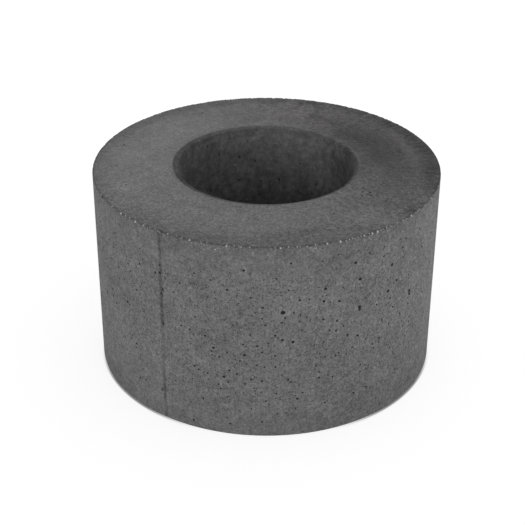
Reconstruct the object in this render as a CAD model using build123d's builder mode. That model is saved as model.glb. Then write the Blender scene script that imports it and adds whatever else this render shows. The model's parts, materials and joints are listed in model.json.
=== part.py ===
from build123d import *
import os

# Thick-walled concrete ring, cast on end in a round form around a round core.
# It is one solid that stands on its bed face. The origin is the middle of that face
# and +Z is the axis of the bore. Lengths are in millimetres, angles in degrees.

# Driving dimensions of the section
BORE_DIAMETER = 153.0
WALL_THICKNESS = 73.5
RING_HEIGHT = 180.0

# Edges of the section: the mouth is rubbed round while the concrete is green, the outer
# arris keeps a thin bevel, and the two edges at the bed are eased by the base of the form
MOUTH_RADIUS = 3.3
ARRIS_BEVEL = 0.8
BED_EDGE_RADIUS = 1.2

# Joint of the form, printed on the outer wall as one shallow round-bottomed groove.
# Its bearing is counted anticlockwise from +X, seen from above.
SEAM_WIDTH = 2.2
SEAM_DEPTH = 0.5
SEAM_BEARING = 235.8

# Sizes that follow from the driving dimensions
bore_radius = BORE_DIAMETER / 2
outer_radius = bore_radius + WALL_THICKNESS
# The groove is a round bar's bite: the chord is its width and the rise is its depth
seam_bar_radius = (SEAM_WIDTH**2 / 4 + SEAM_DEPTH**2) / (2 * SEAM_DEPTH)
seam_bar_offset = outer_radius - SEAM_DEPTH + seam_bar_radius

with BuildPart() as ring:
    # Section of the wall, drawn with the bore's axis as its left edge
    with BuildSketch(Plane.XZ) as section:
        with Locations((bore_radius, 0)):
            Rectangle(WALL_THICKNESS, RING_HEIGHT, align=(Align.MIN, Align.MIN))
        fillet(section.vertices().group_by(Axis.Y)[0], BED_EDGE_RADIUS)
        mouth_corner = section.vertices().group_by(Axis.Y)[-1].sort_by(Axis.X)[0]
        fillet(mouth_corner, MOUTH_RADIUS)
        arris_corner = section.vertices().group_by(Axis.Y)[-1].sort_by(Axis.X)[-1]
        chamfer(arris_corner, ARRIS_BEVEL)
    revolve(axis=Axis.Z)

    # Joint line of the form, from the bed to the top
    with BuildSketch(Plane.XY):
        with PolarLocations(seam_bar_offset, 1, start_angle=SEAM_BEARING):
            Circle(seam_bar_radius)
    extrude(amount=RING_HEIGHT, mode=Mode.SUBTRACT)

ring.part.label = "concrete_ring"
os.makedirs("parts", exist_ok=True)
export_step(ring.part, "parts/concrete_ring.step")
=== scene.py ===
import json
import math

import bpy
import numpy as np
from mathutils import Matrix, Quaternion, Vector


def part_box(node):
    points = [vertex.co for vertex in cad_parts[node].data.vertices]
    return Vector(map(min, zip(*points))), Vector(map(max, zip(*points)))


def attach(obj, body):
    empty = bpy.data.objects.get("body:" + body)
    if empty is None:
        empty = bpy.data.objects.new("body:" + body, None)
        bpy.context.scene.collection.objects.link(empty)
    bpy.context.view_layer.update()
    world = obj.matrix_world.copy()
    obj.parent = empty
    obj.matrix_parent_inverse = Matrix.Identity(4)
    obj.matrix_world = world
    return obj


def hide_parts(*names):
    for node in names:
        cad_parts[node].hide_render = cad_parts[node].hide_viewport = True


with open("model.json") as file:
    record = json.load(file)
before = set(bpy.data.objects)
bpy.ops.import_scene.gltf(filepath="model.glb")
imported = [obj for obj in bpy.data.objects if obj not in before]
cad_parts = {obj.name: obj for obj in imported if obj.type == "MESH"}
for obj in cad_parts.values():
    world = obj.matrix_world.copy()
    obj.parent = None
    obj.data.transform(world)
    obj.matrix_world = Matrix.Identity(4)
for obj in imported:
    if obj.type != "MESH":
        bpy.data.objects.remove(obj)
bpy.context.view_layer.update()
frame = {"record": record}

# Concrete
# The ring is a dark, neutral grey mix of cement and fine sand, cast against a smooth form and left bare.
# Its skin is matt and cloudy, with sand grain all over, and pores too small to be modelled as holes are dots
# of painted shade.
# Light is painted on the wall's right side and the lip's right, and partly on the top's left.
# Shade is painted into its tone in the bore, on the mouth's rounding, in the pores, along the arris and the
# foot.
MM = 0.001
CONCRETE_GREY = 0.137
MINERAL_SHINE = 0.25

ring_low, ring_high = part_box("concrete_ring")
outer_radius = min(ring_high.x, ring_high.y, -ring_low.x, -ring_low.y)
ring_height = ring_high.z
bore_mount = next(m for m in frame["record"]["mounts"] if m["name"] == "bore")
bore_radius = bore_mount["dims"]["r_mm"] * MM

# Spots in the tone by size, spread and, for some, detail.
CLOUD = (40 * MM, 0.36, 3.0)
BLOTCH = (11 * MM, 0.43)
PEA = (5 * MM, 0.50)
SAND = (2.2 * MM, 1.22)
GRIT = (1.0 * MM, 1.25, 1.0)
CORED = (6 * MM, 1.0)
WIDE_RAGS = (18 * MM, 0.9, 3.0)
FINE_RAGS = (5 * MM, 0.8)
ARRIS_PATCHES = (5 * MM, 2.5)
JOINT_WANDER = (16 * MM, 0.7)
JOINT_PATCHES = (7 * MM, 1.6)
# Dots by cell, radius and share of the cells, and the soft edges of a dot and of a patch.
FLECKS = (3.4 * MM, 1.0 * MM, 0.40)
PORE_SHADE_DOTS = (1.8 * MM, 0.8 * MM, 0.66)
SPECKS = (2.6 * MM, 0.7 * MM, 0.45)
RIM_SAND = (2.1 * MM, 0.8 * MM, 0.36)
DOT_EDGE = (1.0, 0.6)
PATCH_EDGE = (1.25, 0.35)
# Tones, as factors on the grey; the warm tint has one for each colour.
FLECK_TONE = 0.78
# Pores: dark dots of painted shade.
PORE_SHADE_TONE = 0.44
SPECK_TONE = 1.5
RIM_SAND_TONE = 2.1
# A dark line along the arris, painted as the shade in its small chips.
ARRIS_SHADE_TONE = 0.75
JOINT_TONE = 0.62
# The bore and the rounding of its mouth are painted darker, as shade.
BORE_SHADE_TONE = 0.82
WARM_TINT = (1.03, 0.988, 1.007)
# How far from a face or an edge its own skin starts, and how near it is full.
TOP_BLEND = (0.9 * MM, 0.5 * MM)
WALL_BLEND = (3.0 * MM, 1.5 * MM)
# The bore's painted shade reaches this far over the mouth, from a centre set off by this much.
MOUTH_BLEND = (5.2 * MM, 2.6 * MM)
MOUTH_SHADE_OFFSET = (-1.0 * MM, 1.4 * MM, 0.0)
RIM_BLEND = (9 * MM, 2 * MM)
ARRIS_BLEND = (2.2 * MM, 0.8 * MM)
# Bearings at which the front of the top and the right of the wall start, and are full.
FRONT_BLEND = (110.0, 45.0)
RIGHT_BLEND = (8.0, 40.0)
# The rough band of the wall by height, with the share of its roughness left at the foot and at the head.
ROUGH_FOOT = (10 * MM, 45 * MM, 0.35, 1.0)
ROUGH_HEAD = (172 * MM, 140 * MM, 0.15, 1.0)
COARSENESS = 0.9
# The form joint's bearing and the edge of its stain in degrees, and the heights at which it shows.
JOINT_BEARING = -34.2
JOINT_EDGE = (1.05, 0.1)
JOINT_ABOVE = (62 * MM, 96 * MM)
JOINT_BELOW = (66 * MM, 46 * MM)
JOINT_LEAST_SHARE = 0.15
# Roughness where the sand is dark and where it is pale, and the height and strength of the grain.
SAND_RANGE = (0.7, 1.3)
SKIN_ROUGHNESS = (0.95, 0.78)
GRIT_SHARE = 0.5
GRAIN_RELIEF = 0.2 * MM
GRAIN_STRENGTH = 0.5

# A warm patch on the top by bearing, radius and reach both ways, in degrees and mm.
WARM_PATCH = (135, 115, 75, 50)
# Patches of the top by bearing, radius, reach both ways and tone; bearings are from the photographed side.
# Most are stains; the lighter left is partly painted reflection, and the mouth has painted shade and a
# highlight.
TOP_STAINS_AND_PAINTED_LIGHT = (
    # Lighter left of the top: partly a stain, partly painted reflection.
    (-88, 107, 72, 46, 1.17),
    (-5, 146, 60, 14, 0.84),
    (9, 131, 14, 9, 0.85),
    (103, 112, 72, 60, 0.62),
    (116, 104, 42, 25, 0.70),
    (121, 101, 12, 8, 0.85),
    (100, 99, 10, 7, 0.88),
    (138, 97, 9, 7, 0.88),
    (103, 121, 5, 3, 0.80),
    (107, 130, 18, 4, 1.08),
    (100, 141, 40, 10, 0.75),
    (142, 134, 26, 14, 0.82),
    (112, 147, 62, 9, 0.76),
    # Painted highlight on the right of the mouth's rounding.
    (120, 81, 34, 3.5, 1.22),
    # Painted shade round the mouth.
    (0, 79, 400, 8, 0.92),
    (180, 147, 112, 14, 0.74),
    (174, 138, 24, 24, 0.88),
    (175, 141, 4, 6, 0.78),
    (163, 142, 5, 5, 0.82),
    (157, 120, 8, 8, 0.90),
    (-169, 96, 10, 7, 0.90),
    (-29, 98, 9, 7, 0.93),
    (-95, 95, 10, 6, 0.94),
    (-16, 85, 4, 3, 0.80),
    (-12, 92, 3, 3, 0.85),
)
# Patches of the outer wall and of the bore by bearing, height, reach both ways and tone.
# On the wall most are stains and marks; it is painted darker along the foot as shade and lighter on the
# right as light.
WALL_STAINS_AND_PAINTED_LIGHT = (
    (0, 182, 400, 16, 0.90),
    # Painted shade along the foot, here and in the next two.
    (0, -4, 400, 22, 0.96),
    (-76, 5, 26, 18, 0.84),
    (68, 8, 30, 20, 0.92),
    (-35, 55, 42, 45, 1.06),
    (35, 42, 42, 36, 0.94),
    (-21.5, 140, 4, 4.5, 0.78),
    (-19, 132, 3.5, 3.5, 0.80),
    (-18.5, 160, 3, 5, 0.90),
    (-26, 152, 3, 1.5, 0.84),
    (-29, 168, 1.3, 9, 0.86),
    (-12.5, 34, 2.5, 5, 0.87),
    (-9.5, 78, 2, 4, 0.88),
    (18.5, 52, 2.5, 4.5, 0.88),
    (10, 20, 3, 5, 0.90),
    (20, 161, 9, 13, 0.92),
    # More painted shade low on the wall, here and in the next one.
    (40, 15, 24, 20, 0.88),
    (8, 10, 14, 16, 0.90),
    (36, 173, 16, 12, 0.90),
    (-30, 173, 8, 12, 0.91),
    (5.1, 121, 3, 6, 1.07),
    (-46, 165, 10, 14, 1.05),
    (-36, 80, 1.3, 45, 1.07),
    (-34.2, 111, 1.3, 3, 0.80),
    (-34.2, 63, 1.2, 3, 0.82),
    (-34.2, 29, 1.2, 3, 0.82),
    # Painted light on the right side of the wall.
    (70, 120, 16, 80, 1.06),
)
# In the bore most are painted shade: its sides, its depth and the mouth's rounding; a few are stains and
# grains.
BORE_STAINS_AND_PAINTED_SHADE = (
    (152, 162, 7, 16, 1.10),
    (132, 168, 14, 14, 0.90),
    (132, 139, 14, 14, 1.12),
    (203, 158, 16, 12, 0.88),
    (252, 160, 12, 14, 0.88),
    # Painted shade on the sides of the bore.
    (102, 150, 32, 60, 0.50),
    (212, 160, 34, 45, 0.80),
    (248, 150, 40, 60, 0.66),
    # Painted shade on the mouth's rounding.
    (262, 178, 50, 9, 0.72),
    (180, 179, 70, 6, 0.84),
    (243, 151, 10, 6, 0.74),
    (222, 168, 8, 5, 0.86),
    (205, 155, 3, 4, 0.80),
    (214, 161, 1.6, 4, 0.76),
    (190, 148, 4, 3, 0.80),
    (177, 143, 2, 2, 0.82),
    (125, 165, 3, 3, 0.84),
    (197, 130, 2, 2, 0.76),
    (142, 131, 2, 1.8, 0.74),
    (171, 128.5, 1.8, 2, 0.76),
    (146, 120, 2.5, 2, 0.76),
    (220.5, 126, 2.2, 2, 0.74),
    (185, 114, 26, 8, 0.86),
    # Painted shade down in the bore.
    (0, 85, 400, 45, 0.60),
    (202, 145.5, 1.3, 1.2, 1.9),
    (194, 108, 1.3, 1.2, 1.9),
    (145, 146.5, 1.8, 1.2, 1.5),
    (183, 172.5, 1.2, 1.1, 1.5),
    # More painted shade on the mouth's rounding.
    (286, 180, 20, 4.5, 0.66),
    (302, 179, 22, 6, 0.50),
    (63, 179, 20, 6, 0.60),
    (0, 180, 60, 4, 0.55),
)


def node(tree, kind, inputs=None, **settings):
    """Adds one node, sets its properties, and sets or links its inputs by name or number."""
    made = tree.nodes.new(kind)
    for name, value in settings.items():
        setattr(made, name, value)
    for key, value in (inputs or {}).items():
        if isinstance(value, bpy.types.NodeSocket):
            tree.links.new(value, made.inputs[key])
        else:
            made.inputs[key].default_value = value
    return made


def maths(tree, operation, a, b=0.0, c=0.0):
    return node(tree, "ShaderNodeMath", {0: a, 1: b, 2: c}, operation=operation).outputs[0]


def product(tree, first, *others):
    for other in others:
        first = maths(tree, "MULTIPLY", first, other)
    return first


def eased(tree, value, start, end, at_start=0.0, at_end=1.0):
    """A smooth step from one level to another, as the value goes from start to end."""
    inputs = {"Value": value, "From Min": start, "From Max": end, "To Min": at_start, "To Max": at_end}
    return node(tree, "ShaderNodeMapRange", inputs, interpolation_type="SMOOTHSTEP").outputs["Result"]


def mottle_group(kind):
    """A node group, for shaders or for geometry: a tone that rises in spots from its least by its spread."""
    group = bpy.data.node_groups.new("mottle", kind + "NodeTree")
    group.interface.new_socket("Place", in_out="INPUT", socket_type="NodeSocketVector")
    for name in ("Scale", "Detail", "Spread", "Least"):
        group.interface.new_socket(name, in_out="INPUT", socket_type="NodeSocketFloat")
    group.interface.new_socket("Tone", in_out="OUTPUT", socket_type="NodeSocketFloat")
    given = node(group, "NodeGroupInput").outputs
    inputs = {"Vector": given["Place"], "Scale": given["Scale"], "Detail": given["Detail"]}
    spots = node(group, "ShaderNodeTexNoise", inputs).outputs["Fac"]
    tone = maths(group, "MULTIPLY_ADD", spots, given["Spread"], given["Least"])
    node(group, "NodeGroupOutput", {"Tone": tone})
    return group


mottles = {kind: mottle_group(kind) for kind in ("Shader", "Geometry")}


def mottle(tree, place, size, spread, detail=2.0):
    """A factor about 1 that varies over the surface: spots of that size, that far apart in tone."""
    inputs = {"Place": place, "Scale": 1 / size, "Detail": detail, "Spread": spread, "Least": 1 - spread / 2}
    kind = tree.type.title()
    return node(tree, kind + "NodeGroup", inputs, node_tree=mottles[kind]).outputs["Tone"]


def tinted(tree, tone, mask, level):
    """The tone times a level where the mask is 1."""
    return maths(tree, "MULTIPLY", tone, maths(tree, "MULTIPLY_ADD", mask, level - 1, 1.0))


def round_the_axis(tree, place):
    """Bearing in degrees from the photographed side, radius and height of a place."""
    parts = node(tree, "ShaderNodeSeparateXYZ", {0: place}).outputs
    towards = maths(tree, "MULTIPLY", parts["Y"], -1.0)
    bearing = maths(tree, "DEGREES", maths(tree, "ARCTAN2", parts["X"], towards))
    squares = maths(tree, "MULTIPLY_ADD", parts["Y"], parts["Y"], maths(tree, "POWER", parts["X"], 2.0))
    return bearing, maths(tree, "SQRT", squares), parts["Z"]


def soft_patch(tree, bearing, across, patch, ragged):
    """A soft-edged patch by bearing, radius or height, and its reach both ways, in degrees and mm."""
    middle, along, turn_reach, reach = patch
    turn = maths(tree, "SUBTRACT", bearing, middle)
    turn = maths(tree, "DIVIDE", maths(tree, "WRAP", turn, -180.0, 180.0), turn_reach)
    step = maths(tree, "DIVIDE", maths(tree, "SUBTRACT", across, along * MM), reach * MM)
    gap = maths(tree, "SQRT", maths(tree, "MULTIPLY_ADD", turn, turn, maths(tree, "POWER", step, 2.0)))
    return eased(tree, maths(tree, "MULTIPLY", gap, ragged), *PATCH_EDGE)


def dots(tree, place, cell, size, share):
    """Round dots of up to that radius, one to a cell, in a share of the cells."""
    cells = node(tree, "ShaderNodeTexVoronoi", {"Vector": place, "Scale": 1 / cell})
    luck = node(tree, "ShaderNodeSeparateColor", {0: cells.outputs["Color"]}).outputs
    wide = maths(tree, "MULTIPLY_ADD", luck["Green"], 0.5, 0.5)
    gap = maths(tree, "DIVIDE", cells.outputs["Distance"], maths(tree, "MULTIPLY", wide, size / cell))
    return product(tree, eased(tree, gap, *DOT_EDGE), maths(tree, "LESS_THAN", luck["Red"], share))


def dotted(tree, tone, place, kind, face, level):
    """The tone with dots of one kind on a face."""
    return tinted(tree, tone, product(tree, dots(tree, place, *kind), face), level)


def short_of(limit, blend):
    return tuple(limit - gap for gap in blend)


def beyond(limit, blend):
    return tuple(limit + gap for gap in blend)


def joint_share(tree, height):
    """How far the form joint shows at a height: well above the middle, hardly there, and again below."""
    above = eased(tree, height, *JOINT_ABOVE)
    below = eased(tree, height, *JOINT_BELOW)
    shown = maths(tree, "MAXIMUM", above, below)
    return maths(tree, "MULTIPLY_ADD", shown, 1 - JOINT_LEAST_SHARE, JOINT_LEAST_SHARE)


def new_skin(name):
    """A matt mineral material: itself, its node tree and its shader."""
    material = bpy.data.materials.new(name)
    material.use_nodes = True
    skin = material.node_tree.nodes["Principled BSDF"]
    skin.inputs["Specular IOR Level"].default_value = MINERAL_SHINE
    return material, material.node_tree, skin


def concrete_material():
    """Mottled grey with the stains, painted shade and painted light of each face, and dots for what is too
    small to be modelled.
    """
    material, tree, skin = new_skin("cast_concrete")
    place = node(tree, "ShaderNodeTexCoord").outputs["Object"]
    bearing, radius, height = round_the_axis(tree, place)
    on_top = eased(tree, height, *short_of(ring_height, TOP_BLEND))
    on_wall = eased(tree, radius, *short_of(outer_radius, WALL_BLEND))
    # The bore and the mouth's rounding, as far as its painted shade reaches.
    off_centre = node(tree, "ShaderNodeVectorMath", {0: place, 1: MOUTH_SHADE_OFFSET}, operation="SUBTRACT")
    shade_radius = round_the_axis(tree, off_centre.outputs[0])[1]
    in_bore = eased(tree, shade_radius, *beyond(bore_radius, MOUTH_BLEND))
    front_top = product(tree, on_top, eased(tree, maths(tree, "ABSOLUTE", bearing), *FRONT_BLEND))
    right_wall = product(tree, on_wall, eased(tree, bearing, *RIGHT_BLEND))
    rough_band = product(tree, on_wall, eased(tree, height, *ROUGH_FOOT), eased(tree, height, *ROUGH_HEAD))

    kinds = (CLOUD, BLOTCH, PEA, SAND, GRIT)
    cloud, blotch, pea, sand, grit = (mottle(tree, place, *spots) for spots in kinds)
    fine = maths(tree, "SUBTRACT", product(tree, sand, grit), 1.0)
    coarse = COARSENESS
    coarser = ((rough_band, 0.1), (in_bore, -0.35), (on_top, -0.2), (front_top, 0.4), (right_wall, 0.18))
    for face, change in coarser:
        coarse = maths(tree, "MULTIPLY_ADD", face, change, coarse)
    tone = product(tree, cloud, blotch, pea, maths(tree, "MULTIPLY_ADD", fine, coarse, 1.0))
    cored = maths(tree, "SUBTRACT", mottle(tree, place, *CORED), 1.0)
    tone = product(tree, tone, maths(tree, "MULTIPLY_ADD", cored, in_bore, 1.0))
    tone = dotted(tree, tone, place, FLECKS, front_top, FLECK_TONE)

    ragged = product(tree, mottle(tree, place, *WIDE_RAGS), mottle(tree, place, *FINE_RAGS))
    surfaces = (
        (radius, on_top, TOP_STAINS_AND_PAINTED_LIGHT),
        (height, on_wall, WALL_STAINS_AND_PAINTED_LIGHT),
        (height, in_bore, BORE_STAINS_AND_PAINTED_SHADE),
    )
    # Each face's patches: real stains and marks, with painted shade and painted light among them.
    for across, face, tone_patches in surfaces:
        for *patch, level in tone_patches:
            in_patch = soft_patch(tree, bearing, across, patch, ragged)
            tone = tinted(tree, tone, product(tree, in_patch, face), level)
    # Painted shade of the small pores, as dark dots.
    tone = dotted(tree, tone, place, PORE_SHADE_DOTS, rough_band, PORE_SHADE_TONE)
    tone = dotted(tree, tone, place, SPECKS, on_top, SPECK_TONE)
    at_rim = maths(
        tree,
        "MAXIMUM",
        product(tree, on_top, eased(tree, radius, *short_of(outer_radius, RIM_BLEND))),
        product(tree, on_wall, eased(tree, height, *short_of(ring_height, RIM_BLEND))),
    )
    tone = dotted(tree, tone, place, RIM_SAND, at_rim, RIM_SAND_TONE)
    # Painted shade along the chipped arris.
    arris_shade = product(
        tree,
        eased(tree, height, *short_of(ring_height, ARRIS_BLEND)),
        eased(tree, radius, *short_of(outer_radius, ARRIS_BLEND)),
        mottle(tree, place, *ARRIS_PATCHES),
    )
    tone = tinted(tree, tone, arris_shade, ARRIS_SHADE_TONE)

    wander = maths(tree, "SUBTRACT", mottle(tree, place, *JOINT_WANDER), 1.0)
    aside = maths(tree, "ADD", maths(tree, "SUBTRACT", bearing, JOINT_BEARING), wander)
    beside_joint = eased(tree, maths(tree, "ABSOLUTE", aside), *JOINT_EDGE)
    patchy = mottle(tree, place, *JOINT_PATCHES)
    joint = product(tree, beside_joint, on_wall, joint_share(tree, height), patchy)
    tone = tinted(tree, tone, joint, JOINT_TONE)
    # Painted shade over the bore and the rounding of its mouth.
    tone = tinted(tree, tone, in_bore, BORE_SHADE_TONE)

    grey = maths(tree, "MULTIPLY", tone, CONCRETE_GREY)
    warm = product(tree, on_top, soft_patch(tree, bearing, radius, WARM_PATCH, ragged))
    shares = (tinted(tree, grey, warm, level) for level in WARM_TINT)
    colour = node(tree, "ShaderNodeCombineColor", dict(enumerate(shares))).outputs[0]
    tree.links.new(colour, skin.inputs["Base Color"])
    tree.links.new(eased(tree, sand, *SAND_RANGE, *SKIN_ROUGHNESS), skin.inputs["Roughness"])
    relief = maths(tree, "ADD", sand, maths(tree, "MULTIPLY", grit, GRIT_SHARE))
    grain = {"Height": relief, "Distance": GRAIN_RELIEF, "Strength": GRAIN_STRENGTH}
    bump = node(tree, "ShaderNodeBump", grain)
    tree.links.new(bump.outputs["Normal"], skin.inputs["Normal"])
    return material


concrete = concrete_material()

# Ring
# One thick-walled casting of that concrete, poured on end between a round form and a round core.
# The mouth of the bore is rounded, the outer arris is struck off nearly square, the bed edges are eased.
MOUTH_RADIUS = 4.2 * MM
ARRIS_ROUNDING = 1.6 * MM
BED_EDGE_RADIUS = 1.2 * MM
STEPS_AROUND = 1080
ARRIS_STEPS = 9
MOUTH_STEPS = 7
BED_EDGE_STEPS = 3


def new_tree(name, **sockets):
    """A Geometry Nodes tree with one geometry output and the named inputs, given as socket kinds."""
    tree = bpy.data.node_groups.new(name, "GeometryNodeTree")
    tree.interface.new_socket("Geometry", in_out="OUTPUT", socket_type="NodeSocketGeometry")
    for socket, kind in sockets.items():
        tree.interface.new_socket(socket, in_out="INPUT", socket_type="NodeSocket" + kind)
    return tree, node(tree, "NodeGroupInput").outputs


def grown(piece, tree, **values):
    """Runs a Geometry Nodes tree on a piece, keeps the result as its plain mesh and drops the modifier."""
    modifier = piece.modifiers.new(tree.name, "NODES")
    modifier.node_group = tree
    for item in tree.interface.items_tree:
        if item.in_out == "INPUT" and item.name in values:
            modifier[item.identifier] = values[item.name]
    depsgraph = bpy.context.evaluated_depsgraph_get()
    mesh = bpy.data.meshes.new_from_object(piece.evaluated_get(depsgraph))
    piece.modifiers.clear()
    piece.data = mesh


def painted(tree, shape, material):
    return node(tree, "GeometryNodeSetMaterial", {"Geometry": shape, "Material": material}).outputs[0]


def by_corner(tree, kind, values):
    """One of four values, by the number of the corner."""
    corner = node(tree, "GeometryNodeIndexSwitch", data_type=kind)
    corner.index_switch_items.new()
    corner.index_switch_items.new()
    tree.links.new(node(tree, "GeometryNodeInputIndex").outputs[0], corner.inputs["Index"])
    for number, value in enumerate(values):
        if isinstance(value, bpy.types.NodeSocket):
            tree.links.new(value, corner.inputs[number + 1])
        else:
            corner.inputs[number + 1].default_value = value
    return corner.outputs[0]


def turned_ring():
    """The section of the wall, with each corner eased by its own radius, swept round the axis."""
    tree, size = new_tree(
        "turned_ring",
        outer_radius="Float",
        bore_radius="Float",
        height="Float",
        arris="Float",
        mouth="Float",
        bed_edge="Float",
        steps_around="Int",
    )
    wall = maths(tree, "SUBTRACT", size["outer_radius"], size["bore_radius"])
    middle = maths(tree, "MULTIPLY_ADD", wall, 0.5, size["bore_radius"])
    sides = {"Width": wall, "Height": size["height"]}
    section = node(tree, "GeometryNodeCurvePrimitiveQuadrilateral", sides).outputs[0]
    sizes = tuple(size[edge] for edge in ("arris", "mouth", "bed_edge", "bed_edge"))
    radii = by_corner(tree, "FLOAT", sizes)
    steps = by_corner(tree, "INT", (ARRIS_STEPS, MOUTH_STEPS, BED_EDGE_STEPS, BED_EDGE_STEPS))
    easing = {"Curve": section, "Count": steps, "Radius": radii}
    rounded = node(tree, "GeometryNodeFilletCurve", easing, mode="POLY").outputs[0]
    circle = {"Resolution": size["steps_around"], "Radius": middle}
    path = node(tree, "GeometryNodeCurvePrimitiveCircle", circle).outputs[0]
    swept = node(tree, "GeometryNodeCurveToMesh", {"Curve": path, "Profile Curve": rounded}).outputs[0]
    lift = node(tree, "ShaderNodeCombineXYZ", {"Z": maths(tree, "MULTIPLY", size["height"], 0.5)}).outputs[0]
    stood = node(tree, "GeometryNodeTransform", {"Geometry": swept, "Translation": lift}).outputs[0]
    node(tree, "NodeGroupOutput", {"Geometry": painted(tree, stood, concrete)})
    return tree


ring = bpy.data.objects.new("cast_ring", bpy.data.meshes.new("cast_ring"))
bpy.context.scene.collection.objects.link(ring)
grown(
    ring,
    turned_ring(),
    outer_radius=outer_radius,
    bore_radius=bore_radius,
    height=ring_height,
    arris=ARRIS_ROUNDING,
    mouth=MOUTH_RADIUS,
    bed_edge=BED_EDGE_RADIUS,
    steps_around=STEPS_AROUND,
)

# Worn arris
# The outer top edge was struck off with a float, which pulled the skin off it in small chips.
# Pale grains of quartz sand lie bare in many of them; the ones that catch the eye are placed.
GRAINS = 190
GRAIN_WIDTH = 1.6 * MM
GRAIN_WIDTH_SHARES = (0.3, 0.75)
GRAIN_JITTER = 0.5 * MM
GRAIN_PATCHES = (14 * MM, 1.6)
PATCH_RANGE = (0.7, 1.3)
PLACE_SEED = 11
GRAIN_WIDTH_SEED = 14
PATCH_SEED = 15
# The strewn grains keep this far off the four lines where the ring touches its box.
BOX_CLEARANCE = 10 * MM
# A chip's reach round a grain, the patches and levels of chips by chance, and how they run in at the ends.
CHIP_REACH = (1.7 * MM, 0.8 * MM)
CHIP_PATCHES = (2.6 * MM, 1.0)
CHIP_LEVELS = (1.02, 1.16)
CHIP_RUN_IN = (0.0, 0.3)
# How far out a chip comes, what the corner loses and where the edge starts, as shares of the rounding.
CHIP_SHARE = 0.78
CORNER_LOSS = 0.1
EDGE_START = 0.02
# How far in the placed grains lie, in mm; the small ones at the edge lie further in by an uneven amount.
GRAIN_INSET = 0.2
UNEVEN_INSET = 0.9
UNEVEN_STEP = 7.3
EDGE_DROP = 2
LARGE_GRAIN = 1.8
# Placed grains by bearing, drop below the top and width, in degrees and mm.
PLACED_GRAINS = (
    (-66, 0.2, 1.1), (-57, 0.2, 1.3), (-51.4, 0.2, 2.1), (-44.2, 0.2, 2.2), (-40.5, 0.2, 1.3),
    (-38, 0.2, 1.1), (-31, 0.2, 1.2), (-23.5, 0.2, 1.9), (-11.9, 0.2, 2.1), (-7.5, 0.2, 1.3),
    (-5, 0.2, 1.1), (4.1, 0.2, 1.9), (6.5, 0.2, 1.1), (18.2, 0.2, 1.8), (22.4, 0.2, 2.0),
    (26.5, 0.2, 1.2), (28.4, 0.2, 1.0), (30.6, 0.2, 1.4), (33.5, 0.2, 2.0), (35.6, 0.2, 2.3),
    (39.3, 0.2, 1.2), (44, 0.2, 1.3), (51, 0.2, 2.2), (55.8, 0.2, 1.5), (65, 0.2, 1.3),
    (-15.3, 5.0, 1.9), (47, 55.2, 1.9), (30.3, 45.3, 1.4), (19.9, 74, 1.3), (38.5, 99, 1.3),
    (47, 150, 1.4), (24.3, 0.9, 1.0), (25.4, 0.3, 1.0), (27.3, 1.1, 1.0), (29.4, 0.2, 0.9),
    (31.8, 1.2, 1.1), (32.5, 0.3, 0.9), (36.9, 0.8, 1.1), (37.8, 0.2, 0.9), (41, 1.0, 1.0),
    (46.5, 0.4, 1.1), (48.5, 1.0, 0.9), (-49, 0.6, 1.1), (-47, 0.2, 0.9), (-42.3, 0.8, 1.1),
    (-36, 0.2, 1.1), (-34, 1.0, 1.0), (-28, 0.5, 0.9), (-26, 0.2, 1.0), (-20, 0.8, 1.0), (-18, 0.2, 1.0),
    (-9.5, 0.5, 0.9), (2.5, 0.6, 0.9), (9, 0.2, 1.1), (12, 0.9, 0.9), (14.5, 0.2, 1.0),
)


def chance(tree, lowest, highest, seed):
    """A random value for each point."""
    span = {2: lowest, 3: highest, "Seed": seed}
    return node(tree, "FunctionNodeRandomValue", span, data_type="FLOAT").outputs[1]


def edge_points(tree, count, radius, height, jitter, seed):
    """Points round the edge, each moved on by up to its spacing and a little in and down."""
    circle = {"Vertices": count, "Radius": radius}
    spots = node(tree, "GeometryNodeMeshCircle", circle).outputs[0]
    place = node(tree, "GeometryNodeInputPosition").outputs[0]
    swing = maths(tree, "DIVIDE", chance(tree, -math.tau, math.tau, seed), count)
    turned = node(tree, "ShaderNodeVectorRotate", {"Vector": place, "Angle": swing}, rotation_type="Z_AXIS")
    shrink = chance(tree, 1.0 - jitter / outer_radius, 1.0, seed + 1)
    drawn = node(tree, "ShaderNodeVectorMath", {0: turned.outputs[0], "Scale": shrink}, operation="SCALE")
    lift = maths(tree, "SUBTRACT", height, chance(tree, 0.0, jitter, seed + 2))
    rise = node(tree, "ShaderNodeCombineXYZ", {"Z": lift}).outputs[0]
    moved = {"Geometry": spots, "Position": drawn.outputs[0], "Offset": rise}
    laid = node(tree, "GeometryNodeSetPosition", moved).outputs[0]
    return node(tree, "GeometryNodeMeshToPoints", {"Mesh": laid}).outputs[0]


def recalled(tree, name, kind):
    return node(tree, "GeometryNodeInputNamedAttribute", {"Name": name}, data_type=kind).outputs[0]


def points_of(tree, thing):
    loose = node(tree, "GeometryNodeObjectInfo", {"Object": thing}).outputs["Geometry"]
    return node(tree, "GeometryNodeMeshToPoints", {"Mesh": loose}).outputs[0]


def joined(tree, *shapes):
    made = node(tree, "GeometryNodeJoinGeometry")
    for shape in shapes:
        tree.links.new(shape, made.inputs[0])
    return made.outputs[0]


def noted(tree, points, name, value, kind):
    inputs = {"Geometry": points, "Name": name, "Value": value}
    return node(tree, "GeometryNodeStoreNamedAttribute", inputs, data_type=kind).outputs[0]


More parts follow.
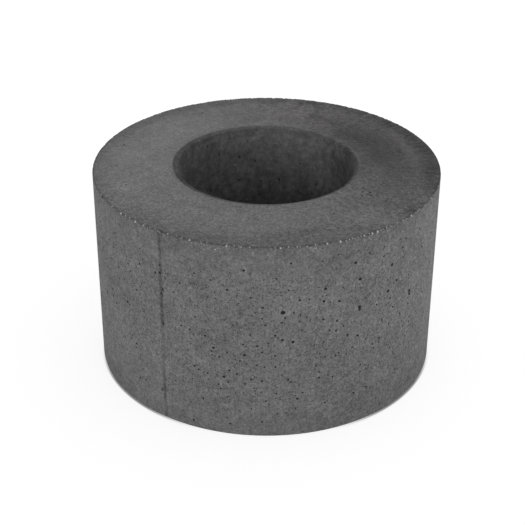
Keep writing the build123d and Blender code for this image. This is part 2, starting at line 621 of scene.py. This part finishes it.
def strewn_grains(tree, given):
    """Where the small grains lie along the edge, each with its width."""
    sizes = (given["grains"], given["edge_radius"], given["edge_height"])
    spots = edge_points(tree, *sizes, GRAIN_JITTER, PLACE_SEED)
    place = node(tree, "GeometryNodeInputPosition").outputs[0]
    sides = node(tree, "ShaderNodeSeparateXYZ", {0: place}).outputs
    nearest = maths(tree, "MINIMUM", *(maths(tree, "ABSOLUTE", sides[axis]) for axis in ("X", "Y")))
    at_limit = maths(tree, "LESS_THAN", nearest, BOX_CLEARANCE)
    patchy = mottle(tree, place, *GRAIN_PATCHES)
    sparse = maths(tree, "LESS_THAN", patchy, chance(tree, *PATCH_RANGE, PATCH_SEED))
    dropped = {"Geometry": spots, "Selection": maths(tree, "MAXIMUM", at_limit, sparse)}
    spots = node(tree, "GeometryNodeDeleteGeometry", dropped).outputs[0]
    luck = maths(tree, "POWER", chance(tree, 0.0, 1.0, GRAIN_WIDTH_SEED), 2.0)
    least, spread = GRAIN_WIDTH_SHARES
    width = maths(tree, "MULTIPLY", given["grain_width"], maths(tree, "MULTIPLY_ADD", luck, spread, least))
    return noted(tree, spots, "width", width, "FLOAT")


def drawn_in(tree, place, share, height):
    """A place brought to a share of its radius, at another height."""
    sides = node(tree, "ShaderNodeSeparateXYZ", {0: place}).outputs
    across, along = (maths(tree, "MULTIPLY", sides[axis], share) for axis in ("X", "Y"))
    return node(tree, "ShaderNodeCombineXYZ", {"X": across, "Y": along, "Z": height}).outputs[0]


def worn_arris():
    """Draws the rounded edge out to a corner, but leaves it chipped round the grains and by chance."""
    tree, given = new_tree(
        "worn_arris",
        ring="Geometry",
        placed="Object",
        edge_radius="Float",
        edge_height="Float",
        rounding="Float",
        grains="Int",
        grain_width="Float",
    )
    place = node(tree, "GeometryNodeInputPosition").outputs[0]
    radius, height = round_the_axis(tree, place)[1:]
    inner = maths(tree, "SUBTRACT", given["edge_radius"], given["rounding"])
    lower = maths(tree, "SUBTRACT", given["edge_height"], given["rounding"])
    out = maths(tree, "DIVIDE", maths(tree, "SUBTRACT", radius, inner), given["rounding"])
    over = maths(tree, "DIVIDE", maths(tree, "SUBTRACT", height, lower), given["rounding"])
    least = maths(tree, "MINIMUM", out, over)
    at_edge = maths(tree, "GREATER_THAN", least, EDGE_START)
    cornered = maths(tree, "DIVIDE", 1.0, maths(tree, "MAXIMUM", out, over))
    blunt = maths(tree, "MULTIPLY_ADD", least, -CORNER_LOSS, 1.0)
    spots = joined(tree, strewn_grains(tree, given), points_of(tree, given["placed"]))
    near = node(tree, "GeometryNodeProximity", {"Geometry": spots}, target_element="POINTS")
    round_grains = eased(tree, near.outputs["Distance"], *CHIP_REACH)
    by_chance = eased(tree, mottle(tree, place, *CHIP_PATCHES), *CHIP_LEVELS)
    chips = maths(tree, "MAXIMUM", round_grains, by_chance)
    chipped = maths(tree, "MULTIPLY", chips, eased(tree, least, *CHIP_RUN_IN))
    whole = maths(tree, "MULTIPLY", cornered, blunt)
    scale = maths(tree, "MULTIPLY_ADD", chipped, maths(tree, "SUBTRACT", CHIP_SHARE, whole), whole)
    new_radius = maths(tree, "MULTIPLY_ADD", maths(tree, "MULTIPLY", out, scale), given["rounding"], inner)
    new_height = maths(tree, "MULTIPLY_ADD", maths(tree, "MULTIPLY", over, scale), given["rounding"], lower)
    share = maths(tree, "DIVIDE", new_radius, radius)
    corner = drawn_in(tree, place, share, new_height)
    drawn = {"Geometry": given["ring"], "Selection": at_edge, "Position": corner}
    drawn = node(tree, "GeometryNodeSetPosition", drawn).outputs[0]
    node(tree, "NodeGroupOutput", {"Geometry": drawn})
    return tree


def spots_object(name, spots):
    """An object of loose points, each with its width."""
    mesh = bpy.data.meshes.new(name)
    mesh.from_pydata([place for place, width in spots], [], [])
    widths = mesh.attributes.new("width", "FLOAT", "POINT")
    for number, (place, width) in enumerate(spots):
        widths.data[number].value = width
    made = bpy.data.objects.new(name, mesh)
    bpy.context.scene.collection.objects.link(made)
    return made


def outward_at(bearing):
    turn = math.radians(bearing)
    return Vector((math.sin(turn), -math.cos(turn), 0))


UP = Vector((0, 0, 1))
placed_spots = []
for bearing, drop, width in PLACED_GRAINS:
    inset = GRAIN_INSET
    if drop < EDGE_DROP and width < LARGE_GRAIN:
        inset += (bearing * UNEVEN_STEP) % UNEVEN_INSET
    place = outward_at(bearing) * (outer_radius - inset * MM) + UP * (ring_height - drop * MM)
    placed_spots.append((place, width * MM))
placed_grains = spots_object("placed_grains", placed_spots)
edge = {
    "placed": placed_grains,
    "edge_radius": outer_radius,
    "edge_height": ring_height,
    "grains": GRAINS,
    "grain_width": GRAIN_WIDTH,
}
grown(ring, worn_arris(), rounding=ARRIS_ROUNDING, **edge)

# Form joint
# The form's two edges met here and left a narrow, shallow groove down the outer wall.
# It is deepest under the arris, nearly closed below the middle, and opens again towards the bed.
JOINT_DEPTH = 0.4 * MM
JOINT_WIDTH = 2.2 * MM
JOINT_STEPS = 120
JOINT_SIDES = 24
JOINT_OVERRUN = 5 * MM
JOINT_UNEVENNESS = (9 * MM, 1.2)


def cut_out(tree, shape, tool):
    """A closed shape with another cut out of it."""
    solids = {"Mesh 1": shape, "Mesh 2": tool}
    how = {"operation": "DIFFERENCE", "solver": "MANIFOLD"}
    return node(tree, "GeometryNodeMeshBoolean", solids, **how).outputs[0]


def form_joint():
    """Cuts a round bar along the wall, set in as deep as the joint is at each height."""
    tree, given = new_tree(
        "form_joint",
        ring="Geometry",
        wall_radius="Float",
        outward="Vector",
        height="Float",
        depth="Float",
        width="Float",
        steps="Int",
    )
    half = maths(tree, "MULTIPLY", given["width"], 0.5)
    squares = maths(tree, "MULTIPLY_ADD", half, half, maths(tree, "POWER", given["depth"], 2.0))
    bar = maths(tree, "DIVIDE", squares, maths(tree, "MULTIPLY", given["depth"], 2.0))
    foot = node(tree, "ShaderNodeCombineXYZ", {"Z": -JOINT_OVERRUN}).outputs[0]
    above = maths(tree, "ADD", given["height"], JOINT_OVERRUN)
    head = node(tree, "ShaderNodeCombineXYZ", {"Z": above}).outputs[0]
    line = node(tree, "GeometryNodeCurvePrimitiveLine", {"Start": foot, "End": head}).outputs[0]
    fine = node(tree, "GeometryNodeResampleCurve", {"Curve": line, "Count": given["steps"]}).outputs[0]
    place = node(tree, "GeometryNodeInputPosition").outputs[0]
    height = node(tree, "ShaderNodeSeparateXYZ", {0: place}).outputs["Z"]
    uneven = mottle(tree, place, *JOINT_UNEVENNESS)
    set_in = product(tree, given["depth"], joint_share(tree, height), uneven)
    away = maths(tree, "SUBTRACT", maths(tree, "ADD", given["wall_radius"], bar), set_in)
    step = {0: given["outward"], "Scale": away}
    step = node(tree, "ShaderNodeVectorMath", step, operation="SCALE").outputs[0]
    laid = node(tree, "GeometryNodeSetPosition", {"Geometry": fine, "Offset": step}).outputs[0]
    circle = {"Resolution": JOINT_SIDES, "Radius": bar}
    round_bar = node(tree, "GeometryNodeCurvePrimitiveCircle", circle).outputs[0]
    sweep = {"Curve": laid, "Profile Curve": round_bar, "Fill Caps": True}
    solid = node(tree, "GeometryNodeCurveToMesh", sweep).outputs[0]
    cut = cut_out(tree, given["ring"], painted(tree, solid, concrete))
    node(tree, "NodeGroupOutput", {"Geometry": cut})
    return tree


grown(
    ring,
    form_joint(),
    wall_radius=outer_radius,
    outward=outward_at(JOINT_BEARING),
    height=ring_height,
    depth=JOINT_DEPTH,
    width=JOINT_WIDTH,
    steps=JOINT_STEPS,
)

# Pinholes
# Air bubbles that lay against the form left open, nearly round holes in the concrete, their insides painted
# near black as shade.
# The ones that stand out are placed one by one, and the many small ones are scattered.
# On the wall by bearing, height and width, in degrees and mm.
WALL_PINHOLES = (
    (5.1, 121.2, 3.2), (30.0, 114.8, 2.8), (30.1, 112.4, 2.3), (52.7, 106.6, 3.4), (52.9, 104.2, 3.1),
    (29.8, 140.9, 2.6), (42.5, 143.0, 2.6), (18.1, 139.0, 2.2), (17.7, 127.9, 2.3), (22.8, 125.4, 2.1),
    (27.9, 157.1, 2.4), (32.8, 162.4, 1.6), (41.3, 119.4, 2.5), (45.2, 125.7, 1.9), (42.5, 111.8, 1.7),
    (36.8, 111.1, 1.7), (17.7, 110.9, 1.8), (22.2, 107.3, 1.9), (22.0, 98.0, 1.8), (19.9, 99.4, 1.6),
    (26.1, 91.2, 2.0), (29.8, 87.9, 2.0), (39.3, 94.1, 1.7), (48.0, 90.6, 1.7), (42.6, 86.9, 1.7),
    (8.3, 93.1, 2.3), (5.0, 95.4, 2.0), (2.8, 99.8, 1.9), (-2.6, 89.8, 1.7), (-4.8, 100.1, 1.5),
    (-6.7, 158.9, 2.0), (7.3, 165.3, 1.6), (3.0, 152.2, 1.5), (-11.8, 140.1, 1.9), (-4.7, 134.7, 1.7),
    (-1.0, 125.9, 1.7), (8.4, 120.4, 1.5), (5.8, 115.9, 1.5), (4.8, 111.8, 1.5), (-0.2, 109.6, 1.5),
    (-17.0, 147.0, 1.5), (-22.2, 150.5, 1.5), (-27.2, 138.2, 1.5), (-36.2, 140.7, 1.7), (-19.0, 94.2, 1.7),
    (-27.2, 98.7, 1.5), (-6.6, 80.6, 2.1), (-16.4, 84.1, 2.0), (-17.0, 80.6, 1.6), (-14.6, 76.4, 1.6),
    (-1.2, 83.9, 1.5), (-11.4, 64.3, 1.6), (-13.1, 57.4, 2.1), (-9.0, 61.7, 1.6), (-4.5, 57.2, 1.7),
    (-1.2, 56.1, 1.7), (-14.9, 49.3, 1.6), (-14.2, 45.3, 1.7), (-22.8, 62.8, 1.9), (-21.4, 60.3, 1.6),
    (7.0, 56.7, 1.7), (7.9, 54.3, 1.6), (16.9, 55.3, 1.7), (31.4, 57.6, 1.6), (22.1, 73.6, 1.6),
    (38.5, 77.2, 1.7), (36.4, 69.7, 1.7), (10.0, 37.2, 1.9), (29.3, 31.4, 1.8), (34.1, 33.0, 1.6),
    (-23.6, 7.4, 1.8), (-11.2, 10.9, 1.7), (-20.1, 32.0, 1.6), (-43.1, 141.7, 1.8), (-48.8, 136.0, 1.7),
    (-47.6, 130.5, 1.5), (-54.5, 125.7, 1.8), (-45.1, 115.3, 1.7), (-50.3, 97.7, 2.1), (-42.0, 98.0, 1.6),
    (-59.7, 91.7, 2.0), (-65.5, 87.3, 2.2), (-46.3, 61.2, 1.9), (-45.3, 27.8, 1.6), (-42.6, 29.2, 1.6),
    (56.5, 161.3, 1.7), (59.1, 141.7, 1.8), (53.7, 80.2, 1.7), (53.7, 75.6, 1.6), (48.6, 160.9, 1.6),
    (-34.5, 148.8, 1.7), (-34.5, 141.8, 2.0), (-33.6, 127.0, 2.0), (-34.2, 122.7, 2.0), (-33.9, 94.4, 2.0),
    (-62.0, 140.2, 1.6), (-69.5, 135.0, 1.8), (-57.3, 87.5, 1.5), (-57.3, 141.3, 1.5), (-2.8, 71.3, 1.4),
    (-8.0, 74.4, 1.5), (-0.4, 69.8, 1.4), (3.0, 69.7, 1.5), (-6.4, 52.6, 1.5), (-11.8, 52.8, 1.4),
    (-18.4, 58.3, 1.5), (19.9, 56.1, 1.4), (21.4, 53.8, 1.4), (18.7, 74.8, 1.5), (15.8, 67.4, 1.4),
    (-1.2, 115.6, 1.4), (10.4, 117.8, 1.4), (10.1, 112.2, 1.4), (-7.0, 90.7, 1.4),
    (0.7, 92.3, 1.4), (2.8, 80.6, 1.4), (0.1, 36.1, 1.4), (-1.0, 14.8, 1.5), (9.5, 27.7, 1.4),
    (51.7, 101.0, 1.5), (34.6, 54.2, 1.4), (31.5, 50.9, 1.4), (35.8, 73.9, 1.4), (28.0, 77.4, 1.4),
    (26.0, 72.8, 1.4), (43.8, 61.7, 1.4), (23.9, 137.0, 1.4), (45.8, 163.2, 1.4), (38.6, 154.3, 1.4),
    (28.8, 167.4, 1.4), (21.8, 168.1, 1.4), (-51.2, 118.2, 1.4), (-42.0, 92.5, 1.4), (-49.1, 63.3, 1.4),
)
# On the top by bearing, radius and width, and in the bore by bearing, depth and width.
TOP_PINHOLES = (
    (-107, 133, 1.7), (30, 108, 1.6), (-70, 125, 1.5), (-65, 138, 1.4), (60, 93.4, 1.4), (58.9, 96.3, 1.7),
    (55.9, 95.9, 1.2), (57.3, 101.8, 1.8), (52.4, 99.4, 1.6), (54.8, 105.2, 1.6), (54.9, 101.5, 1.2),
)
BORE_PINHOLES = (
    (199, 27.5, 2.0), (188, 33, 1.6), (156, 33, 1.6), (171, 52, 1.8), (143, 50, 1.6), (199, 51, 1.6),
    (222, 55, 1.6), (146, 61, 1.6), (135, 55, 1.4), (185, 68, 1.8), (215, 20, 1.4), (207, 22, 1.3),
)
# Bearing past which the wall turns away from the photograph, and the scattered ones may be wider.
PHOTO_SIDE = 72.0
PINHOLE_SPACING = 2.6 * MM
PINHOLES_PER_SQUARE_METRE = 40000.0
LEAST_WIDTH = 0.9 * MM
MOST_WIDTH = 1.5 * MM
MOST_WIDTH_BEHIND = 2.6 * MM
# A bubble's width as a share of its hole's, and how far from round it is.
MOUTH_SHARE = 1.2
BUBBLE_UNEVENNESS = 0.15
BUBBLE_SEGMENTS = 8
BUBBLE_RINGS = 6
PINHOLE_SEED = 7
KEPT_SEED = 1
PINHOLE_WIDTH_SEED = 2
BUBBLE_SEED = 3
# Where the scattered ones lie: clear of the placed ones, in patches, most in the middle band of the wall.
PINHOLE_CLEARANCE = 2.6 * MM
PINHOLE_PATCHES = (45 * MM, 2.4)
BAND_FOOT = (8 * MM, 50 * MM, 0.12, 1.0)
BAND_HEAD = (176 * MM, 135 * MM, 0.12, 1.0)
FACE_BLEND = (1.5 * MM, 0.5 * MM)
WALL_CHANCE = 0.15
BORE_CHANCE = 0.012
CHANCE_ANYWHERE = 0.008
# The skin inside a pinhole, painted near black as the shade in it, and how its tone varies.
PINHOLE_SHADE_GREY = 0.022
PINHOLE_SPREAD = 0.5
MINERAL_SPOTS = 3 * MM
MINERAL_ROUGHNESS = 0.8


def plain_mineral(name, grey, spread):
    """A small-grained mineral surface of one grey, for the sand in the concrete and the painted shade inside
    its pinholes.
    """
    material, tree, skin = new_skin(name)
    skin.inputs["Roughness"].default_value = MINERAL_ROUGHNESS
    place = node(tree, "ShaderNodeTexCoord").outputs["Object"]
    tone = maths(tree, "MULTIPLY", mottle(tree, place, MINERAL_SPOTS, spread), grey)
    tree.links.new(tone, skin.inputs["Base Color"])
    return material


def balls(tree, points, ball, radius, unevenness, material, seed):
    """A lumpy ball of that radius on every point, as one solid shape of that material."""
    least = (1 - unevenness,) * 3
    most = (1 + unevenness,) * 3
    span = {0: least, 1: most, "Seed": seed}
    uneven = node(tree, "FunctionNodeRandomValue", span, data_type="FLOAT_VECTOR").outputs[0]
    size = node(tree, "ShaderNodeVectorMath", {0: uneven, "Scale": radius}, operation="SCALE").outputs[0]
    laid = {"Points": points, "Instance": painted(tree, ball, material), "Scale": size}
    many = node(tree, "GeometryNodeInstanceOnPoints", laid).outputs[0]
    return node(tree, "GeometryNodeRealizeInstances", {"Geometry": many}).outputs[0]


def pinholes():
    """Cuts bubbles out of the ring: the placed ones and a scatter that keeps clear of them."""
    tree, given = new_tree(
        "pinholes",
        ring="Geometry",
        placed="Object",
        spacing="Float",
        density="Float",
        least_width="Float",
        most_width="Float",
        most_width_behind="Float",
        mouth_share="Float",
        seed="Int",
    )
    scatter = node(
        tree,
        "GeometryNodeDistributePointsOnFaces",
        {
            "Mesh": given["ring"],
            "Distance Min": given["spacing"],
            "Density Max": given["density"],
            "Seed": given["seed"],
        },
        distribute_method="POISSON",
    )
    place = node(tree, "GeometryNodeInputPosition").outputs[0]
    bearing, radius, height = round_the_axis(tree, place)
    on_wall = eased(tree, radius, *short_of(outer_radius, FACE_BLEND))
    in_bore = eased(tree, radius, *beyond(bore_radius, FACE_BLEND))
    band = product(tree, eased(tree, height, *BAND_FOOT), eased(tree, height, *BAND_HEAD))
    patchy = mottle(tree, place, *PINHOLE_PATCHES)
    likely = product(tree, on_wall, band, patchy, WALL_CHANCE)
    likely = maths(tree, "ADD", likely, product(tree, in_bore, patchy, BORE_CHANCE))
    likely = maths(tree, "ADD", likely, CHANCE_ANYWHERE)
    kept = maths(tree, "LESS_THAN", chance(tree, 0.0, 1.0, KEPT_SEED), likely)
    placed = node(tree, "GeometryNodeObjectInfo", {"Object": given["placed"]}).outputs["Geometry"]
    nearest = node(tree, "GeometryNodeProximity", {"Geometry": placed}, target_element="POINTS")
    clear = maths(tree, "GREATER_THAN", nearest.outputs["Distance"], PINHOLE_CLEARANCE)
    dropped = maths(tree, "SUBTRACT", 1.0, maths(tree, "MULTIPLY", kept, clear))
    turned_away = maths(tree, "GREATER_THAN", maths(tree, "ABSOLUTE", bearing), PHOTO_SIDE)
    turned_away = maths(tree, "MULTIPLY", turned_away, on_wall)
    extra = maths(tree, "SUBTRACT", given["most_width_behind"], given["most_width"])
    widest = maths(tree, "MULTIPLY_ADD", extra, turned_away, given["most_width"])
    share = maths(tree, "POWER", chance(tree, 0.0, 1.0, PINHOLE_WIDTH_SEED), 3.0)
    spread = maths(tree, "SUBTRACT", widest, given["least_width"])
    width = maths(tree, "MULTIPLY_ADD", spread, share, given["least_width"])
    points = noted(tree, scatter.outputs["Points"], "width", width, "FLOAT")
    few = node(tree, "GeometryNodeDeleteGeometry", {"Geometry": points, "Selection": dropped}).outputs[0]
    both = joined(tree, few, points_of(tree, given["placed"]))
    bubble = product(tree, recalled(tree, "width", "FLOAT"), given["mouth_share"], 0.5)
    ball = {"Segments": BUBBLE_SEGMENTS, "Rings": BUBBLE_RINGS, "Radius": 1.0}
    ball = node(tree, "GeometryNodeMeshUVSphere", ball).outputs[0]
    bubbles = balls(tree, both, ball, bubble, BUBBLE_UNEVENNESS, pinhole_shade_skin, BUBBLE_SEED)
    cut = cut_out(tree, given["ring"], bubbles)
    # The cut faces take the pinhole's painted shade.
    number = node(tree, "GeometryNodeInputMaterialIndex").outputs[0]
    cut_face = maths(tree, "GREATER_THAN", number, 0.5)
    inside = {"Geometry": cut, "Selection": cut_face, "Material": pinhole_shade_skin}
    skinned = node(tree, "GeometryNodeSetMaterial", inside).outputs[0]
    node(tree, "NodeGroupOutput", {"Geometry": skinned})
    return tree


pinhole_shade_skin = plain_mineral("pinhole_shade_skin", PINHOLE_SHADE_GREY, PINHOLE_SPREAD)
placed_spots = []
for bearing, height, width in WALL_PINHOLES:
    placed_spots.append((outward_at(bearing) * outer_radius + UP * height * MM, width * MM))
for bearing, radius, width in TOP_PINHOLES:
    placed_spots.append((outward_at(bearing) * radius * MM + UP * ring_height, width * MM))
for bearing, depth, width in BORE_PINHOLES:
    placed_spots.append((outward_at(bearing) * bore_radius + UP * (ring_height - depth * MM), width * MM))
placed_pinholes = spots_object("placed_pinholes", placed_spots)
grown(
    ring,
    pinholes(),
    placed=placed_pinholes,
    spacing=PINHOLE_SPACING,
    density=PINHOLES_PER_SQUARE_METRE,
    least_width=LEAST_WIDTH,
    most_width=MOST_WIDTH,
    most_width_behind=MOST_WIDTH_BEHIND,
    mouth_share=MOUTH_SHARE,
    seed=PINHOLE_SEED,
)
bpy.data.objects.remove(placed_pinholes)

# Sand grains
# The sand of the mix is small, blocky grains of quartz, some clean and pale, some dull with cement.
# The cement holds them in the chips of the arris and, in a few places, in the wall.
PALE_SAND_GREY = 0.40
PALE_SAND_SPREAD = 0.8
DULL_SAND_GREY = 0.21
DULL_SAND_SPREAD = 2.0
GRAIN_FACES = 20
GRAIN_SEED = 25
# How far below the wall's face and the top a grain's middle stays, as a share of its half width.
GRAIN_SUNK = 0.7
GRAIN_BELOW_TOP = 1.02
SHARP_BEND = math.radians(38)
# The flat map's gaps and the cells of the grains, in mm.
MAP_GAP = 10.0
MAP_CELL = 3.0
MAP_CELLS_A_ROW = 150


def sand_grains():
    """Lays the grains in their chips, and marks the sharp edges of the whole piece."""
    tree, given = new_tree(
        "sand_grains",
        ring="Geometry",
        placed="Object",
        edge_radius="Float",
        edge_height="Float",
        grains="Int",
        grain_width="Float",
    )
    place = node(tree, "GeometryNodeInputPosition").outputs[0]
    radius, height = round_the_axis(tree, place)[1:]
    half = maths(tree, "MULTIPLY", recalled(tree, "width", "FLOAT"), 0.5)
    reach = maths(tree, "SUBTRACT", given["edge_radius"], maths(tree, "MULTIPLY", half, GRAIN_SUNK))
    shrink = maths(tree, "MINIMUM", maths(tree, "DIVIDE", reach, radius), 1.0)
    top = maths(tree, "SUBTRACT", given["edge_height"], maths(tree, "MULTIPLY", half, GRAIN_BELOW_TOP))
    tucked = drawn_in(tree, place, shrink, maths(tree, "MINIMUM", height, top))
    grain = node(tree, "GeometryNodeMeshIcoSphere", {"Radius": 1.0, "Subdivisions": 1}).outputs[0]
    sandy = given["ring"]
    sands = ((strewn_grains(tree, given), dull_sand), (points_of(tree, given["placed"]), pale_sand))
    for spots, sand in sands:
        laid = node(tree, "GeometryNodeSetPosition", {"Geometry": spots, "Position": tucked}).outputs[0]
        sandy = joined(tree, balls(tree, laid, grain, half, 0.0, sand, GRAIN_SEED), sandy)
    bend = node(tree, "GeometryNodeInputMeshEdgeAngle").outputs["Unsigned Angle"]
    sharp = maths(tree, "GREATER_THAN", bend, SHARP_BEND)
    smooth = {"Geometry": sandy, "Shade Smooth": True}
    smooth = node(tree, "GeometryNodeSetShadeSmooth", smooth, domain="FACE").outputs[0]
    crisp = {"Geometry": smooth, "Selection": sharp, "Shade Smooth": False}
    crisp = node(tree, "GeometryNodeSetShadeSmooth", crisp, domain="EDGE").outputs[0]
    node(tree, "NodeGroupOutput", {"Geometry": crisp})
    return tree


def read(items, name, kind, width=1):
    """One property of all of a mesh's items, a row for each."""
    values = np.empty(len(items) * width, dtype=kind)
    items.foreach_get(name, values)
    return values.reshape(-1, width) if width > 1 else values


def laid_flat(mesh, sands):
    """Gives the piece a flat map: the wall in two halves, bore, top, bed, and each grain."""
    corner = read(mesh.vertices, "co", np.float32, 3)[read(mesh.loops, "vertex_index", np.int32)] / MM
    sizes = read(mesh.polygons, "loop_total", np.int32)
    face = np.repeat(np.arange(len(sizes)), sizes)
    centre = np.add.reduceat(corner, read(mesh.polygons, "loop_start", np.int32)) / sizes[:, None]
    centre = centre[face]
    outer, bore, tall = outer_radius / MM, bore_radius / MM, ring_height / MM
    radius = np.hypot(centre[:, 0], centre[:, 1])
    bearing = np.arctan2(centre[:, 0], -centre[:, 1])
    swing = np.arctan2(corner[:, 0], -corner[:, 1]) - bearing
    swing = (swing + math.pi) % math.tau - math.pi
    behind = np.abs(bearing) > math.pi / 2
    half_turn = np.where(behind, bearing % math.tau - math.pi, bearing) + math.pi / 2
    depths = (outer - radius, tall - centre[:, 2], radius - bore, centre[:, 2])
    nearest = np.stack(depths).argmin(axis=0)
    strip = tall + MAP_GAP
    beside = math.tau * bore + MAP_GAP + outer
    round_bore = (bearing + math.pi + swing) * bore
    from_side = corner[:, 0] + beside
    across = np.choose(nearest, ((half_turn + swing) * outer, from_side, round_bore, from_side))
    stacked = (
        corner[:, 2] + behind * strip,
        corner[:, 1] + outer,
        corner[:, 2] + 2 * strip,
        corner[:, 1] + 3 * outer + MAP_GAP,
    )
    along = np.choose(nearest, stacked)

    numbers = [number for number, skin in enumerate(mesh.materials) if skin in sands]
    sandy = np.isin(read(mesh.polygons, "material_index", np.int32), numbers)
    grain = ((np.cumsum(sandy) - 1) // GRAIN_FACES)[face][sandy[face]]
    sandy = sandy[face]
    middle = [np.bincount(grain, corner[sandy, axis]) / np.bincount(grain) for axis in range(3)]
    middle = np.stack(middle, axis=1)[grain]
    outward = middle[:, :2] / np.hypot(middle[:, 0], middle[:, 1])[:, None]
    local = corner[sandy] - middle
    facing = centre[sandy] - middle
    shown = (facing[:, :2] * outward).sum(axis=1) + facing[:, 2] > 0
    cell = 2 * grain + shown
    sideways = local[:, 1] * outward[:, 0] - local[:, 0] * outward[:, 1]
    upwards = (local[:, 2] - (local[:, :2] * outward).sum(axis=1)) / math.sqrt(2)
    across[sandy] = (cell % MAP_CELLS_A_ROW + 0.5) * MAP_CELL + sideways
    along[sandy] = (cell // MAP_CELLS_A_ROW + 0.5) * MAP_CELL + upwards + 3 * strip
    across = (across + MAP_GAP / 2) / (beside + outer + MAP_GAP)
    along = (along + MAP_GAP / 2) / (4 * outer + 2 * MAP_GAP)
    flat = mesh.uv_layers.new(name="OFBake")
    flat.data.foreach_set("uv", np.stack((across, along), axis=1).astype(np.float32).ravel())


pale_sand = plain_mineral("pale_sand", PALE_SAND_GREY, PALE_SAND_SPREAD)
dull_sand = plain_mineral("dull_sand", DULL_SAND_GREY, DULL_SAND_SPREAD)
grown(ring, sand_grains(), **edge)
bpy.data.objects.remove(placed_grains)
for number in reversed(range(len(ring.data.materials))):
    if ring.data.materials[number] is None:
        ring.data.materials.pop(index=number)
laid_flat(ring.data, (pale_sand, dull_sand))

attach(ring, "root")
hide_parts("concrete_ring")

# Studio
# A plain white floor keeps a faint shadow round the ring and the dark down in the bore.
# A narrow shadow is painted at the sides of the foot; the light is even all round, stronger low than high.
# The camera stands where the photograph's did.
FLOOR_SIDE = 8.0
FLOOR_DROP = 0.1 * MM
# The floor's white starts this far in under the wall, and stays out of the bore.
FLOOR_TUCK = 10 * MM
FLOOR_GREY = 0.9
FLOOR_GLOW = 0.78
FLOOR_SHADE = 0.32
CONTACT_REACH = 2.2 * MM
CONTACT_SHADE = 0.75
# Turns from the front, or from the back, between which the narrow shadow comes in and goes out.
CONTACT_IN = (20.0, 45.0)
CONTACT_OUT = (88.0, 60.0)
HORIZON_LIGHT = 1.9
ZENITH_LIGHT = 0.3
SIDE_LIGHT = 0.12
VIEW_ELEVATION = math.radians(29.649)
VIEW_ROLL = math.radians(0.31)
VIEW_DISTANCE = 1.1523
VIEW_AIM = Vector((-0.00309, 0.0, 0.08146))
LENS = 87.415


def seen_directly(tree):
    """A mask of the rays that show a surface as it is: camera, mirror and glass rays."""
    path = node(tree, "ShaderNodeLightPath").outputs
    shown = maths(tree, "MAXIMUM", path["Is Camera Ray"], path["Is Glossy Ray"])
    return maths(tree, "MAXIMUM", shown, path["Is Transmission Ray"])


floor_mesh = bpy.data.meshes.new("floor")
half = FLOOR_SIDE / 2
corners = [(x * half, y * half, -FLOOR_DROP) for x, y in ((-1, -1), (1, -1), (1, 1), (-1, 1))]
floor_mesh.from_pydata(corners, [], [(0, 1, 2, 3)])
floor = bpy.data.objects.new("floor", floor_mesh)
bpy.context.scene.collection.objects.link(floor)
floor_paint = bpy.data.materials.new("white_floor")
floor_paint.use_nodes = True
paint = floor_paint.node_tree
paint.nodes.remove(paint.nodes["Principled BSDF"])
place = node(paint, "ShaderNodeTexCoord").outputs["Object"]
bearing, radius = round_the_axis(paint, place)[:2]
outside = maths(paint, "GREATER_THAN", radius, outer_radius - FLOOR_TUCK)
shown = maths(paint, "MULTIPLY", seen_directly(paint), outside)
contact = eased(paint, radius, outer_radius + CONTACT_REACH, outer_radius, 0.0, -CONTACT_SHADE)
turned = maths(paint, "PINGPONG", bearing, 90.0)
beside = product(paint, outside, eased(paint, turned, *CONTACT_IN), eased(paint, turned, *CONTACT_OUT))
contact = maths(paint, "MULTIPLY", contact, beside)
bright = maths(paint, "ADD", contact, 1.0)
white = maths(paint, "MULTIPLY_ADD", shown, FLOOR_SHADE - FLOOR_GREY, FLOOR_GREY)
lit = node(paint, "ShaderNodeBsdfDiffuse", {"Color": product(paint, white, bright)}).outputs[0]
glow = node(paint, "ShaderNodeEmission", {"Strength": product(paint, shown, bright, FLOOR_GLOW)}).outputs[0]
both = node(paint, "ShaderNodeAddShader", {0: lit, 1: glow}).outputs[0]
paint.links.new(both, paint.nodes["Material Output"].inputs["Surface"])
floor_mesh.materials.append(floor_paint)

world = bpy.data.worlds.new("white_room")
world.use_nodes = True
bpy.context.scene.world = world
room = world.node_tree
background = room.nodes["Background"]
background.inputs["Color"].default_value = (1, 1, 1, 1)
way = node(room, "ShaderNodeTexCoord").outputs["Generated"]
way = node(room, "ShaderNodeSeparateXYZ", {0: way}).outputs
fall = {"Value": way["Z"], "To Min": HORIZON_LIGHT, "To Max": ZENITH_LIGHT}
light = node(room, "ShaderNodeMapRange", fall).outputs["Result"]
light = maths(room, "MULTIPLY", light, maths(room, "MULTIPLY_ADD", way["X"], SIDE_LIGHT, 1.0))
level = node(room, "ShaderNodeMix", {"Factor": seen_directly(room), 2: light, 3: 1.0}).outputs[0]
room.links.new(level, background.inputs["Strength"])

camera = bpy.data.objects.new("camera", bpy.data.cameras.new("camera"))
bpy.context.scene.collection.objects.link(camera)
camera.data.lens = LENS
back = Vector((0, -math.cos(VIEW_ELEVATION), math.sin(VIEW_ELEVATION)))
camera.location = VIEW_AIM + back * VIEW_DISTANCE
camera.rotation_mode = "QUATERNION"
camera.rotation_quaternion = back.to_track_quat("Z", "Y") @ Quaternion((0, 0, 1), VIEW_ROLL)
bpy.context.scene.camera = camera
bpy.context.scene.view_settings.view_transform = "Standard"
